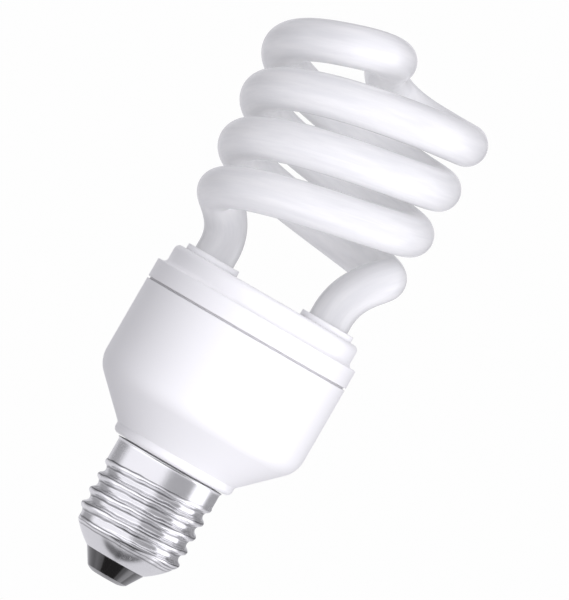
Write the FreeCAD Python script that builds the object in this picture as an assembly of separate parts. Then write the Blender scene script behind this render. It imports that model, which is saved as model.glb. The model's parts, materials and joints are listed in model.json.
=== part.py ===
"""Spiral energy saving lamp with a screw cap, in millimetres.

The lamp's axis is Z. The origin is the middle of the centre contact's end face, and +Z points to the glass.
The photograph looks along +Y, so the left leg of the tube is at -X and the front of the lamp is at -Y.
"""
import FreeCAD, Part
import math
import os

V = FreeCAD.Vector

# Screw cap: the 27 mm lamp thread, rolled in thin sheet
cap_wall = 0.3
thread_crest_d = 26.2
thread_depth = 1.1
thread_pitch = 3.629
thread_crest_z = 10.33          # height of the first full crest on the right-hand side
thread_rings = 12               # outline steps in one pitch
thread_fade_turns = 0.55        # the lowest crest grows out of the dome over this part of a turn
thread_turns = 3.05             # turns of the groove before it runs out at the top
thread_runout_turns = 0.45
band_below_crest = 0.15
band_step_gap = 0.6             # above the last groove, the skin goes from crest width to the plain band's
band_step_height = 2.0
band_start_gap = 1.0
cap_band_height = 3.4
cap_mouth_height = 0.7
cap_mouth_flare = 0.35
cap_lip_d = 14.6
cap_lip_z = 4.5
dome_radius = 21.0
dome_over_crest = 0.2
dome_top_above_crest = 0.17
dome_blend = 0.35
dome_extra_inset = 0.6
dome_slope_height = 4.5
ring_points = 40

# Contact and black glass
contact_d = 10.0
contact_rise = 0.82
contact_flat_d = 5.2
contact_stem_top_z = 2.3
contact_plate = 0.4
glass_gap = 0.05
glass_below_dome_top = 2.5
glass_bore_d = 1.8
glass_dish_depth = 1.2
glass_dish_flat = 2.0

# Ballast housing
housing_d = 50.8
housing_wall = 1.7
cylinder_height = 21.1
cone_height = 10.05
cone_bend = 7.0
bead_reach = 1.95
bead_gap = 0.4
bead_height = 2.25
bead_round = 1.3
neck_round = 3.0
spigot_gap = 0.1
spigot_wall = 1.5
spigot_foot_gap = 1.5
rib_count = 6
rib_thick = 1.2
rib_reach = 2.2

# Tube holder: the cover that snaps on the housing
groove_width = 0.5
groove_depth = 0.55
ring_height = 4.5
ring_round = 0.3
drum_step = 1.95
drum_height = 4.9
drum_round = 1.3
drum_foot_round = 1.0
cover_wall = 1.6
skirt_gap = 0.1
skirt_wall = 1.2
tongue_count = 4
tongue_width = 8.0
tongue_slot = 1.0
tongue_length = 6.0
hook_reach = 0.6
hook_height = 1.3
hook_depth = 4.6
collar_wall = 1.49
collar_height = 1.35
collar_round = 0.25
collar_gap = 0.15
socket_wall = 1.6
socket_depth = 8.3
cement_depth = 2.4
cement_thick = 0.75
cement_gap = 0.05

# Glass tube; heights here are above the drum's top
tube_d = 9.72
leg_inset = 8.0
leg_turn_deg = 18.1
leg_depth = 10.3
leg_end_round = 3.2
leg_end_d = 3.4
leg_straight_height = 3.2
leg_curve = 8.28
entry_curve = 6.12
coil_r = 21.15
coil_r_growth = 0.055
half_pitch = 11.87
coil_low_height = 15.2
coil_start_deg = -171.9
coil_end_deg = 414.7
lean_pivot_height = 6.9
lean_span = 25.0                # the lean back grows once by coil_lean_back_growth over this height
coil_lean_left = 2.1
coil_lean_back = 4.5
coil_lean_back_growth = 3.6
coil_shift_x = 0.09
coil_shift_y = -1.92
bridge_rise = 5.3
bridge_x = -0.22
bridge_y = 0.79
bridge_deg = -27.0
bridge_curve_out = 18.7
bridge_curve_in = 1.84
ring_spacing = 2.4
rings_per_face = 16

# Circuit board
board_gap = 0.25
board_thick = 1.6
board_depth = 8.9
lead_d = 0.7
lead_hole_gap = 0.1
lead_stub = 1.3
solder_d = 1.6
solder_height = 0.8
standoff = 0.8

# Tube wires and their posts
post_side = 1.0
post_height = 5.0
post_reach = 4.4
wire_d = 0.4
wire_gap = 0.02
wire_offset = 1.1
wrap_turns = 3
wrap_pitch = 0.5
wrap_low = 2.2

# Places of the components, drawn on a board of layout_r and spread with the board's radius
layout_r = 23.45
can_at = (-4.0, -3.0)
choke_at = (11.6, 5.2)
toroid_at = (-14.2, 8.0)
high_transistor_at = (-3.0, 16.0)
low_transistor_at = (-3.0, 8.0)
diode_at = ((-9.8, -15.0), (-5.8, -15.0), (-1.8, -15.0), (2.2, -15.0))
trigger_at = (-14.6, -11.6)
coupling_at = (9.0, -10.8)
resonant_at = (-15.0, -4.6)
thermistor_at = (9.2, 15.6)
filter_at = (17.3, -9.2)
base_resistor_1_at = (-19.4, 1.4)
base_resistor_2_at = (20.2, 2.6)
start_resistor_at = (4.6, 19.6)
fuse_at = (3.0, 4.2)

# Sizes of the components
can_d = 10.0
can_length = 20.0
can_pin_spacing = 5.0
can_round = 0.6
can_bead = 0.55
can_bead_depth = 2.0
choke_width = 15.0
choke_depth = 5.0
choke_height = 12.0
choke_yoke = 2.1
choke_post_d = 4.6
choke_winding_gap = 0.4
bobbin_wall = 0.6
bobbin_gap = 0.05
bobbin_foot = 1.8
winding_d = 10.4
winding_turns = 9
winding_recess = 0.4
choke_pin_spacing = 8.0
toroid_d = 9.5
toroid_hole_d = 5.0
toroid_thick = 3.2
toroid_round = 0.3
toroid_wire_d = 0.6
toroid_gap = 0.05
toroid_turns = 3
toroid_turn_deg = 24.0
transistor_width = 7.8
transistor_height = 10.8
transistor_thick = 2.7
transistor_hole_d = 3.1
transistor_hole_up = 3.6
transistor_drop = 1.6
transistor_pin_spacing = 2.28
diode_d = 2.7
diode_length = 5.2
diode_pin_spacing = 7.6
trigger_d = 1.9
trigger_length = 4.0
trigger_pin_spacing = 6.0
coupling_size = (10.0, 5.0, 9.0)     # length, thickness, height
resonant_size = (9.0, 4.0, 8.0)
film_round = 1.0
film_pin_spacing = 7.0
thermistor_d = 6.5
thermistor_thick = 2.5
thermistor_round = 0.5
thermistor_pin_spacing = 4.0
filter_d = 6.0
filter_height = 8.0
filter_core_d = 3.0
filter_flange = 1.2
filter_pin_spacing = 3.0
filter_turns = 7
resistor_d = 1.9
resistor_length = 4.4
resistor_pin_spacing = 7.2
fuse_d = 3.2
fuse_length = 9.0
fuse_round = 0.5
fuse_depth = 10.6
supply_wire_d = 0.6
side_wire_turn_deg = 151.2
side_wire_overlap = 4.0
side_wire_bend = 0.9
side_wire_gap = 0.45

# Worked out from the sizes above
thread_crest_r = thread_crest_d / 2
thread_valley_r = thread_crest_r - thread_depth
dome_top_r = thread_crest_r + dome_over_crest
dome_top_z = thread_crest_z + dome_top_above_crest
thread_top_z = thread_crest_z + thread_turns * thread_pitch
band_step_z = thread_top_z + band_step_gap
cap_band_r = thread_crest_r - band_below_crest
cap_band_low_z = band_step_z + band_step_height + band_start_gap
cap_band_top_z = cap_band_low_z + cap_band_height
cap_mouth_z = cap_band_top_z + cap_mouth_height
glass_top_z = dome_top_z - glass_below_dome_top
spigot_r = thread_valley_r - cap_wall - spigot_gap
spigot_bore_r = spigot_r - spigot_wall
spigot_low_z = dome_top_z + spigot_foot_gap
bead_r = thread_crest_r + bead_reach
bead_low_z = cap_mouth_z + bead_gap
bead_top_z = bead_low_z + bead_height
cone_top_z = bead_top_z + cone_height
housing_r = housing_d / 2
housing_bore_r = housing_r - housing_wall
housing_top_z = cone_top_z + cylinder_height
ring_low_z = housing_top_z + groove_width
ring_top_z = ring_low_z + ring_height
drum_r = housing_r - drum_step
drum_top_z = ring_top_z + drum_height
skirt_r = housing_bore_r - skirt_gap
skirt_bore_r = skirt_r - skirt_wall
hook_z = housing_top_z - hook_depth
socket_low_z = drum_top_z - socket_depth
cement_top_z = drum_top_z - cement_depth
tube_r = tube_d / 2
leg_x = (drum_r - leg_inset) * math.cos(math.radians(leg_turn_deg))
leg_y = (drum_r - leg_inset) * math.sin(math.radians(leg_turn_deg))
leg_low_z = drum_top_z - leg_depth
leg_straight_z = drum_top_z + leg_straight_height
coil_low_z = drum_top_z + coil_low_height
coil_top_z = coil_low_z + half_pitch * (coil_end_deg + 180) / 180
bridge_z = coil_top_z + bridge_rise
lean_pivot_z = drum_top_z + lean_pivot_height
board_r = housing_bore_r - board_gap
board_low_z = housing_top_z - board_depth
board_top_z = board_low_z + board_thick
body_top_z = board_low_z - standoff
fuse_low_z = cap_mouth_z - fuse_depth
side_wire_top_z = spigot_low_z + side_wire_overlap


def smooth(value, low, high):
    """Goes from 0 at low to 1 at high with flat ends."""
    t = min(max((value - low) / (high - low), 0.0), 1.0)
    return t * t * (3 - 2 * t)


def rounded_outline(corners, place):
    """Closed wire through corners (a, b) or (a, b, radius), with tangent arcs at the rounded ones."""
    starts, ends, mids = [], [], []
    count = len(corners)
    for i, corner in enumerate(corners):
        a, b = corner[0], corner[1]
        radius = corner[2] if len(corner) > 2 else 0.0
        if not radius:
            starts.append((a, b))
            ends.append((a, b))
            mids.append(None)
            continue
        before, after = corners[i - 1], corners[(i + 1) % count]
        ua, ub = before[0] - a, before[1] - b
        wa, wb = after[0] - a, after[1] - b
        lu, lw = math.hypot(ua, ub), math.hypot(wa, wb)
        ua, ub, wa, wb = ua / lu, ub / lu, wa / lw, wb / lw
        half = math.acos(max(-1.0, min(1.0, ua * wa + ub * wb))) / 2
        cut = radius / math.tan(half)
        la, lb = ua + wa, ub + wb
        length = math.hypot(la, lb)
        sag = radius / math.sin(half) - radius
        starts.append((a + ua * cut, b + ub * cut))
        ends.append((a + wa * cut, b + wb * cut))
        mids.append((a + la / length * sag, b + lb / length * sag))
    edges = []
    for i in range(count):
        if mids[i]:
            edges.append(Part.Arc(place(*starts[i]), place(*mids[i]), place(*ends[i])).toShape())
        following = starts[(i + 1) % count]
        if math.dist(ends[i], following) > 1e-6:
            edges.append(Part.LineSegment(place(*ends[i]), place(*following)).toShape())
    return Part.Wire(Part.__sortEdges__(edges))


def turned(corners):
    """Solid of revolution about Z from an outline in radius and height."""
    wire = rounded_outline(corners, lambda r, z: V(r, 0, z))
    return Part.Face(wire).revolve(V(0, 0, 0), V(0, 0, 1), 360)


def block(x, y, low_z, size_x, size_y, height):
    """Box centred on x, y that stands on low_z."""
    return Part.makeBox(size_x, size_y, height, V(x - size_x / 2, y - size_y / 2, low_z))


def rod(x, y, low_z, high_z, diameter):
    return Part.makeCylinder(diameter / 2, high_z - low_z, V(x, y, low_z))


def around(angle_deg, shape):
    """Copy of a shape turned about the lamp's axis."""
    copy = shape.copy()
    copy.rotate(V(0, 0, 0), V(0, 0, 1), angle_deg)
    return copy


def bent_rod(points, bend, diameter):
    """Round wire along straight runs joined by tangent arcs."""
    edges = []
    start = points[0]
    for i in range(1, len(points) - 1):
        corner = points[i]
        back = (points[i - 1] - corner).normalize()
        forth = (points[i + 1] - corner).normalize()
        half = back.getAngle(forth) / 2
        cut = bend / math.tan(half)
        middle = (back + forth).normalize() * (bend / math.sin(half) - bend)
        arc_start, arc_end = corner + back * cut, corner + forth * cut
        edges.append(Part.LineSegment(start, arc_start).toShape())
        edges.append(Part.Arc(arc_start, corner + middle, arc_end).toShape())
        start = arc_end
    edges.append(Part.LineSegment(start, points[-1]).toShape())
    spine = Part.Wire(edges)
    disc = Part.Face(Part.Wire([Part.Circle(points[0], points[1] - points[0], diameter / 2).toShape()]))
    return spine.makePipe(disc)


def length_of(points):
    return sum(a.distanceToPoint(b) for a, b in zip(points, points[1:]))


def points_at(points, distances):
    """Points of a line at the given distances from its start, in rising order."""
    result, k, passed = [], 0, 0.0
    step = points[0].distanceToPoint(points[1])
    for s in distances:
        while k < len(points) - 2 and passed + step < s:
            passed += step
            k += 1
            step = points[k].distanceToPoint(points[k + 1])
        result.append(points[k] + (points[k + 1] - points[k]) * ((s - passed) / step))
    return result


def evenly_spaced(points, spacing):
    """The same line with its points at equal distances."""
    length = length_of(points)
    count = max(4, round(length / spacing))
    return points_at(points, [length * i / count for i in range(count + 1)])


def skin_along(points, radii, around_count):
    """Closed solid round a line: one circle of the given radius at each point, joined by a smooth skin.

    The circles' frames are carried along the line without twist. Each of the skin's control points round the
    section runs along the line on a curve of its own, and the last circle at each end is closed by a disc.
    """
    count = len(points)
    tangents = []
    for i in range(count):
        a, b = points[max(i - 1, 0)], points[min(i + 1, count - 1)]
        tangents.append((b - a).normalize())
    side = tangents[0].cross(V(0.3, 1.0, 0.1)).normalize()
    step = 2 * math.pi / around_count
    swell = 6 / (4 + 2 * math.cos(step))
    rings = []
    for point, tangent, radius in zip(points, tangents, radii):
        side = (side - tangent * side.dot(tangent)).normalize()
        up = tangent.cross(side)
        reach = radius * swell
        rings.append([point + side * (reach * math.cos(k * step)) + up * (reach * math.sin(k * step))
                      for k in range(around_count)])
    travelled = [0.0]
    for i in range(1, count):
        apart = points[i - 1].distanceToPoint(points[i]) + abs(radii[i] - radii[i - 1])
        travelled.append(travelled[-1] + apart)
    tracks = []
    for k in range(around_count):
        track = Part.BSplineCurve()
        track.interpolate(Points=[ring[k] for ring in rings], Parameters=travelled)
        tracks.append(track)
    poles = [list(row) for row in zip(*[track.getPoles() for track in tracks])]
    surface = Part.BSplineSurface()
    surface.buildFromPolesMultsKnots(
        poles, tracks[0].getMultiplicities(), [1] * (around_count + 1), tracks[0].getKnots(),
        [float(k) for k in range(around_count + 1)], False, True, 3, 3)
    skins = []
    cuts = list(range(0, count - rings_per_face // 2, rings_per_face)) + [count - 1]
    for first, last in zip(cuts, cuts[1:]):
        piece = surface.copy()
        piece.segment(travelled[first], travelled[last], 0.0, float(around_count))
        skins.append(piece.toShape())
    discs = []
    for skin, low in ((skins[0], True), (skins[-1], False)):
        rims = [edge for edge in skin.Edges if edge.isClosed()]
        rims.sort(key=lambda edge: edge.CenterOfGravity.distanceToPoint(points[0 if low else -1]))
        discs.append(Part.Face(Part.Wire([rims[0]])))
    return solid_of(skins + discs)


def solid_of(faces):
    """Solid inside a closed skin, turned the right way out."""
    shell = Part.makeShell(faces)
    shell.sewShape()
    solid = Part.Solid(shell)
    if solid.Volume < 0:
        solid.reverse()
    return solid


def bezier(p0, p1, p2, p3, count):
    points = []
    for i in range(count + 1):
        t = i / count
        s = 1 - t
        points.append(p0 * (s ** 3) + p1 * (3 * s * s * t) + p2 * (3 * s * t * t) + p3 * (t ** 3))
    return points


# The glass tube

def coil_point(angle, side):
    """Centre line of one arm of the double spiral; side is 1 for the left leg's arm, -1 for the other."""
    z = coil_low_z + half_pitch * (angle + math.pi) / math.pi
    radius = coil_r + coil_r_growth * (z - coil_low_z)
    return V(side * radius * math.cos(angle), side * radius * math.sin(angle), z)


def leaned(point):
    """The wound coil stands a little askew in the holder, and leans back more towards its top."""
    x, y, z = point.x, point.y, point.z - lean_pivot_z
    left = math.radians(coil_lean_left)
    back = math.radians(coil_lean_back + coil_lean_back_growth * (z / lean_span - 1))
    y, z = y * math.cos(back) + z * math.sin(back), z * math.cos(back) - y * math.sin(back)
    x, z = x * math.cos(left) - z * math.sin(left), z * math.cos(left) + x * math.sin(left)
    return V(x + coil_shift_x, y + coil_shift_y, z + lean_pivot_z)


def arm_line(side):
    """Centre line of one arm, from the leg's lower end to the middle of the bridge."""
    start, end = math.radians(coil_start_deg), math.radians(coil_end_deg)
    steps = 240
    coil = [coil_point(start + (end - start) * i / steps, side) for i in range(steps + 1)]
    bridge_end = V(bridge_x, bridge_y, bridge_z)
    heading = math.radians(bridge_deg)
    crossing = V(side * math.cos(heading), side * math.sin(heading), 0)
    leaving = (coil[-1] - coil[-2]).normalize()
    bridge = bezier(coil[-1], coil[-1] + leaving * bridge_curve_out,
                    bridge_end - crossing * bridge_curve_in, bridge_end, 60)
    upper = [leaned(p) for p in coil + bridge[1:]]
    entering = (upper[1] - upper[0]).normalize()
    leg_low = V(-side * leg_x, side * leg_y, leg_low_z)
    leg_top = V(-side * leg_x, side * leg_y, leg_straight_z)
    elbow = bezier(leg_top, leg_top + V(0, 0, leg_curve), upper[0] - entering * entry_curve, upper[0], 40)
    leg = [leg_low + (leg_top - leg_low) * (i / 40) for i in range(40)]
    return leg + elbow + upper[1:]


def tube_line():
    """Centre line of the whole tube, leg to leg over the bridge."""
    one, other = arm_line(1), arm_line(-1)
    return one + other[::-1][1:]


def discharge_tube():
    """Both arms in one skin; each leg ends in a quarter-round shoulder with a small flat seal."""
    line = tube_line()
    length = length_of(line)
    quarter = [math.pi / 2 * i / 6 for i in range(7)]
    shoulder = [leg_end_round * (1 - math.cos(a)) for a in quarter]
    end_r = leg_end_d / 2
    shoulder_r = [end_r + (tube_r - end_r) * math.sin(a) for a in quarter]
    middle = length - 2 * leg_end_round
    count = round(middle / ring_spacing)
    distances = shoulder + [leg_end_round + middle * i / count for i in range(1, count)]
    distances += [length - d for d in reversed(shoulder)]
    radii = shoulder_r + [tube_r] * (count - 1) + shoulder_r[::-1]
    return skin_along(points_at(line, distances), radii, 16)


# The screw cap

def thread_height(offset):
    """Height of the rolled thread, 0 in a valley and 1 on a crest, made of equal round crests and valleys."""
    half, depth = thread_pitch / 2, thread_depth
    radius = (half ** 2 + depth ** 2) / (4 * depth)
    x = abs((offset + half) % thread_pitch - half)
    if x < half / 2:
        return 1 - (radius - math.sqrt(radius ** 2 - x ** 2)) / depth
    return (radius - math.sqrt(radius ** 2 - (half - x) ** 2)) / depth


def dome_r(z):
    """Radius of the cap's rounded bottom: one arc from the lip round the glass up to the first crest."""
    low_r, high_r = cap_lip_d / 2, dome_top_r
    chord_r, chord_z = high_r - low_r, dome_top_z - cap_lip_z
    chord = math.hypot(chord_r, chord_z)
    depth = math.sqrt(dome_radius ** 2 - (chord / 2) ** 2)
    centre_r = (low_r + high_r) / 2 - depth * chord_z / chord
    centre_z = (cap_lip_z + dome_top_z) / 2 + depth * chord_r / chord
    return centre_r + math.sqrt(max(dome_radius ** 2 - (z - centre_z) ** 2, 0.0))


def cap_outer_r(angle, z):
    """Outside radius of the cap at an angle and a height, below the plain band."""
    turn = angle / (2 * math.pi)
    crest_z = thread_crest_z + thread_pitch * turn
    index = round((z - crest_z) / thread_pitch)
    crest_turn = index + turn
    valley_turn = math.floor((z - crest_z) / thread_pitch) + turn
    height = thread_height(z - crest_z)
    rolled = thread_valley_r + thread_depth * height * smooth(crest_turn, -thread_fade_turns, 0.0)
    rolled_out = smooth(valley_turn, thread_turns, thread_turns + thread_runout_turns)
    above_crest = smooth(z, band_step_z, band_step_z + band_step_height)
    band = cap_band_r + (thread_crest_r - cap_band_r) * (1 - above_crest)
    radius = rolled + (max(band, rolled) - rolled) * rolled_out
    gap = dome_r(z) - radius
    if gap > dome_blend:
        return radius
    if gap < -dome_blend:
        return dome_r(z)
    return radius - (dome_blend - gap) ** 2 / (4 * dome_blend)


def closed_ring(polar, z):
    """Smooth closed curve at one height through points given as angle and radius."""
    curve = Part.BSplineCurve()
    curve.interpolate(Points=[V(r * math.cos(a), r * math.sin(a), z) for a, r in polar], PeriodicFlag=True)
    return curve.toShape()


def cap_ring(z, inset):
    """Closed ring of the cap's skin at one height."""
    angles = [2 * math.pi * i / ring_points for i in range(ring_points)]
    return closed_ring([(a, cap_outer_r(a, z) - inset) for a in angles], z)


def plain_ring(radius, z):
    return closed_ring([(2 * math.pi * i / ring_points, radius) for i in range(ring_points)], z)


def sheet_inset(z):
    """Wall measured across the axis: more where the sheet slopes in at the bottom."""
    return cap_wall * (1 + dome_extra_inset * (1 - smooth(z, dome_top_z - dome_slope_height, dome_top_z)))


def cap_shell():
    step = thread_pitch / thread_rings
    count = round((cap_band_low_z - cap_lip_z) / step)
    heights = [cap_lip_z + (cap_band_low_z - cap_lip_z) * i / count for i in range(count + 1)]
    mouth_r = cap_band_r + cap_mouth_flare
    rings = [cap_ring(z, 0) for z in heights]
    rings += [plain_ring(cap_band_r, cap_band_top_z), plain_ring(mouth_r, cap_mouth_z)]
    rings += [plain_ring(mouth_r - cap_wall, cap_mouth_z), plain_ring(cap_band_r - cap_wall, cap_band_top_z)]
    rings += [cap_ring(z, sheet_inset(z)) for z in reversed(heights)]
    faces = []
    for ring, following in zip(rings, rings[1:] + rings[:1]):
        faces += Part.makeRuledSurface(ring, following).Faces
    return solid_of(faces)


def cap_insulator():
    """Black glass: cone below the cap's lip, and a plug that fills the rounded bottom from inside."""
    neck_r = cap_lip_d / 2 - sheet_inset(cap_lip_z) - glass_gap
    corners = [(contact_d / 2, contact_rise), (cap_lip_d / 2, cap_lip_z), (neck_r, cap_lip_z)]
    steps = 5
    for i in range(1, steps + 1):
        z = cap_lip_z + (glass_top_z - cap_lip_z) * i / steps
        corners.append((dome_r(z) - sheet_inset(z) - 2 * glass_gap, z))
    bore_r = glass_bore_d / 2
    dish_z = glass_top_z - glass_dish_depth
    corners += [(bore_r + glass_dish_flat, dish_z, 1.0), (bore_r, dish_z), (bore_r, contact_rise)]
    return turned(corners)


def centre_contact():
    """Domed end plate with a flat middle and a short tube that the wire is soldered in."""
    stem_r = glass_bore_d / 2 - glass_gap
    wire_r = supply_wire_d / 2
    middle = Part.Arc(V(contact_flat_d / 2, 0, 0), V(0.4 * contact_d, 0, contact_rise * 0.3),
                      V(contact_d / 2, 0, contact_rise)).toShape()
    lines = [V(contact_d / 2, 0, contact_rise), V(stem_r, 0, contact_rise), V(stem_r, 0, contact_stem_top_z),
             V(wire_r, 0, contact_stem_top_z), V(wire_r, 0, contact_plate), V(0, 0, contact_plate),
             V(0, 0, 0), V(contact_flat_d / 2, 0, 0)]
    edges = [middle] + [Part.LineSegment(a, b).toShape() for a, b in zip(lines, lines[1:])]
    face = Part.Face(Part.Wire(Part.__sortEdges__(edges)))
    return face.revolve(V(0, 0, 0), V(0, 0, 1), 360)


# The plastic body

def housing_outline():
    """Outside corners of the housing, from the spigot up to the rim."""
    return [(spigot_r, spigot_low_z), (spigot_r, bead_low_z), (bead_r, bead_low_z, bead_round),
            (bead_r, bead_top_z), (housing_r, cone_top_z, cone_bend), (housing_r, housing_top_z)]


def ballast_housing():
    outer = housing_outline()
    slope = (housing_r - bead_r) / cone_height
    inner_bend_z = cone_top_z + housing_wall * (math.sqrt(1 + slope ** 2) - slope) * 0.5
    neck_z = inner_bend_z - (housing_bore_r - spigot_bore_r) / slope
    inner = [(housing_bore_r, housing_top_z), (housing_bore_r, inner_bend_z, cone_bend - housing_wall),
             (spigot_bore_r, neck_z, neck_round), (spigot_bore_r, spigot_low_z)]
    shell = turned(outer + inner)
    envelope = turned(outer + [(0, housing_top_z), (0, spigot_low_z)])
    rib_in = housing_bore_r - rib_reach
    rib = Part.makeBox(housing_wall / 2 + rib_reach, rib_thick, board_low_z - neck_z,
                       V(rib_in, -rib_thick / 2, neck_z))
    ribs = [around(360 * i / rib_count, rib) for i in range(rib_count)]
    shell = shell.fuse([rib.common(envelope) for rib in ribs])
    catch = turned([(housing_bore_r - 1, hook_z - skirt_gap),
                    (housing_bore_r + hook_reach + skirt_gap, hook_z - skirt_gap),
                    (housing_bore_r + hook_reach + skirt_gap, hook_z + hook_height + skirt_gap),
                    (housing_bore_r - 1, hook_z + hook_height + skirt_gap)])
    slot_depth = supply_wire_d - (thread_valley_r - cap_wall - spigot_r) + 0.05
    slot = Part.makeBox(slot_depth + 1, supply_wire_d + 0.2, side_wire_top_z + 0.5 - spigot_low_z,
                        V(spigot_r - slot_depth, -supply_wire_d / 2 - 0.1, spigot_low_z))
    slot = around(side_wire_turn_deg, slot)
    return shell.cut([catch, slot]).removeSplitter()


def tube_holder():
    """Cover with the drum, the ring, the snap skirt and two collared sockets for the tube's legs."""
    inside_top = drum_top_z - cover_wall
    drum_bore_r = drum_r - cover_wall
    cover = turned([
        (skirt_r, board_top_z), (skirt_r, housing_top_z), (housing_r - groove_depth, housing_top_z),
        (housing_r - groove_depth, ring_low_z), (housing_r, ring_low_z), (housing_r, ring_top_z, ring_round),
        (drum_r, ring_top_z, drum_foot_round), (drum_r, drum_top_z, drum_round), (0, drum_top_z),
        (0, inside_top), (drum_bore_r, inside_top, 1.0), (drum_bore_r, ring_top_z - 1.5),
        (skirt_bore_r, ring_top_z - 2.5), (skirt_bore_r, board_top_z)])
    tongue_foot_z = board_top_z + tongue_length
    hook = turned([(skirt_r - 0.4, hook_z), (skirt_r + hook_reach, hook_z + 0.7 * hook_height),
                   (skirt_r + hook_reach, hook_z + hook_height), (skirt_r - 0.4, hook_z + hook_height)])
    slots, windows = [], []
    for i in range(tongue_count):
        angle = 360 * i / tongue_count
        sector = Part.makeBox(housing_r, tongue_width, tongue_length + 1,
                              V(skirt_r - 2, -tongue_width / 2, board_top_z - 0.5))
        windows.append(around(angle, sector))
        for side in (-1, 1):
            y = side * (tongue_width + tongue_slot) / 2
            slot = Part.makeBox(skirt_wall + 2, tongue_slot, tongue_foot_z - board_top_z + 1,
                                V(skirt_bore_r - 1, y - tongue_slot / 2, board_top_z - 1))
            slots.append(around(angle, slot))
    hooks = [hook.common(window) for window in windows]
    cover = cover.fuse(hooks).cut(slots)
    for x, y in ((-leg_x, leg_y), (leg_x, -leg_y)):
        well_d = tube_d + 2 * cement_thick
        collar_d = tube_d + 2 * (collar_gap + collar_wall)
        socket = rod(x, y, socket_low_z, drum_top_z - cover_wall / 2, well_d + 2 * socket_wall)
        collar = rod(x, y, drum_top_z - cover_wall / 2, drum_top_z + collar_height, collar_d)
        rim = [edge for edge in collar.Edges if abs(edge.BoundBox.ZMin - drum_top_z - collar_height) < 1e-6]
        collar = collar.makeFillet(collar_round, rim)
        bore = rod(x, y, socket_low_z - 1, drum_top_z + collar_height + 1, tube_d + 2 * collar_gap)
        well = rod(x, y, socket_low_z - 1, cement_top_z, well_d)
        cover = cover.fuse([socket, collar]).cut([bore, well])
    return cover.removeSplitter()


def tube_cement(side):
    """Ring of cement in the well round one leg."""
    x, y = side * leg_x, -side * leg_y
    outer = rod(x, y, socket_low_z, cement_top_z, tube_d + 2 * cement_thick)
    return outer.cut(rod(x, y, socket_low_z - 1, cement_top_z + 1, tube_d + 2 * cement_gap))


# Electronics

leads = []          # one shape for each wire leg
joints = []         # x, y of each soldered leg


def spread(at):
    """Place on the board as it is, from a place on a board of layout_r."""
    return at[0] * board_r / layout_r, at[1] * board_r / layout_r


def straight_lead(x, y, low_z):
    leads.append(rod(x, y, low_z, board_top_z + lead_stub, lead_d))
    joints.append((x, y))


def turned_lead(x, y, z, dx, dy, reach):
    """Leg that leaves a lying component sideways and turns up into the board."""
    start = V(x, y, z)
    corner = V(x + dx * reach, y + dy * reach, z)
    leads.append(bent_rod([start, corner, V(corner.x, corner.y, board_top_z + lead_stub)], lead_d, lead_d))
    joints.append((corner.x, corner.y))


def lying(at, along_y, diameter, length, pin_spacing):
    """Axial component under the board, with both of its legs turned up."""
    x, y = spread(at)
    z = body_top_z - diameter / 2
    dx, dy = (0, 1) if along_y else (1, 0)
    start = V(x - dx * length / 2, y - dy * length / 2, z)
    body = Part.makeCylinder(diameter / 2, length, start, V(dx, dy, 0))
    body = body.makeFillet(diameter / 8, [edge for edge in body.Edges if edge.isClosed()])
    for side in (-1, 1):
        sx, sy = side * dx, side * dy
        turned_lead(x + sx * length / 2, y + sy * length / 2, z, sx, sy, (pin_spacing - length) / 2)
    return body


def hanging_block(at, size, along_y):
    """Film capacitor: a dipped block with soft edges."""
    x, y = spread(at)
    length, thick, height = size
    size_x, size_y = (thick, length) if along_y else (length, thick)
    body = block(x, y, body_top_z - height, size_x, size_y, height)
    body = body.makeFillet(film_round, body.Edges)
    for side in (-1, 1):
        offset = side * film_pin_spacing / 2
        if along_y:
            straight_lead(x, y + offset, body_top_z)
        else:
            straight_lead(x + offset, y, body_top_z)
    return body


def wound_drum(x, y, low_z, high_z, bore_d, outer_d, turns):
    """Winding with one round ridge for each visible turn."""
    pitch = (high_z - low_z) / turns
    ridge = pitch * 0.3
    base_r = outer_d / 2 - ridge
    points = [V(bore_d / 2, 0, low_z), V(base_r, 0, low_z)]
    edges = [Part.LineSegment(points[0], points[1]).toShape()]
    for i in range(turns):
        z = low_z + i * pitch
        low, high = V(base_r, 0, z), V(base_r, 0, z + pitch)
        edges.append(Part.Arc(low, V(base_r + ridge, 0, z + pitch / 2), high).toShape())
    edges.append(Part.LineSegment(V(base_r, 0, high_z), V(bore_d / 2, 0, high_z)).toShape())
    edges.append(Part.LineSegment(V(bore_d / 2, 0, high_z), V(bore_d / 2, 0, low_z)).toShape())
    drum = Part.Face(Part.Wire(edges)).revolve(V(0, 0, 0), V(0, 0, 1), 360)
    drum.translate(V(x, y, 0))
    return drum


def smoothing_capacitor():
    can_x, can_y = spread(can_at)
    low_z = body_top_z - can_length
    can = rod(can_x, can_y, low_z, body_top_z, can_d)
    can = can.makeFillet(can_round, [edge for edge in can.Edges if edge.isClosed()])
    bead = Part.makeTorus(can_d / 2 + 0.2, can_bead, V(can_x, can_y, body_top_z - can_bead_depth))
    for side in (-1, 1):
        straight_lead(can_x + side * can_pin_spacing / 2, can_y, body_top_z)
    return can.cut(bead)


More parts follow.
